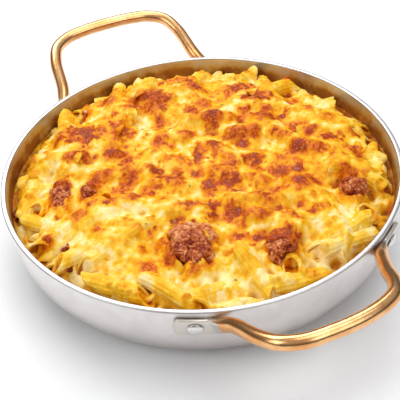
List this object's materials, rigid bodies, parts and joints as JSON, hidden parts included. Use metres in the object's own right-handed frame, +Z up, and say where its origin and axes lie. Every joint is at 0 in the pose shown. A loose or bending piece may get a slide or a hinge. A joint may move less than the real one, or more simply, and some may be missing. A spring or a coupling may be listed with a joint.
{
  "type": "baked pasta",
  "caption": "Penne baked under browned cheese with sausage chunks, in a round shallow metal pan with a looped rod handle riveted on each side.",
  "frame": {"origin": "centre of the pan's flat base, which is the bottom centre of the whole object", "axes": "+Z up, out of the dish; X runs through the two handles, +X towards the front handle; Y is across"},
  "size_m": [0.3303, 0.24, 0.0679],
  "materials": {
    "pan": "satin, with a browned inner wall above the bake",
    "handle": null,
    "rivet": "polished",
    "bake": "melted golden cheese with browned blisters",
    "sausage": "browned sausage meat"
  },
  "bodies": {
    "root": {"pan": "pan", "handle_front": "handle", "handle_back": "handle", "rivet_front_1": "rivet", "rivet_front_2": "rivet", "rivet_back_1": "rivet", "rivet_back_2": "rivet", "pasta_bake": "bake", "sausage_1": "sausage", "sausage_2": "sausage", "sausage_3": "sausage", "sausage_4": "sausage", "sausage_5": "sausage"}
  },
  "joints": []
}
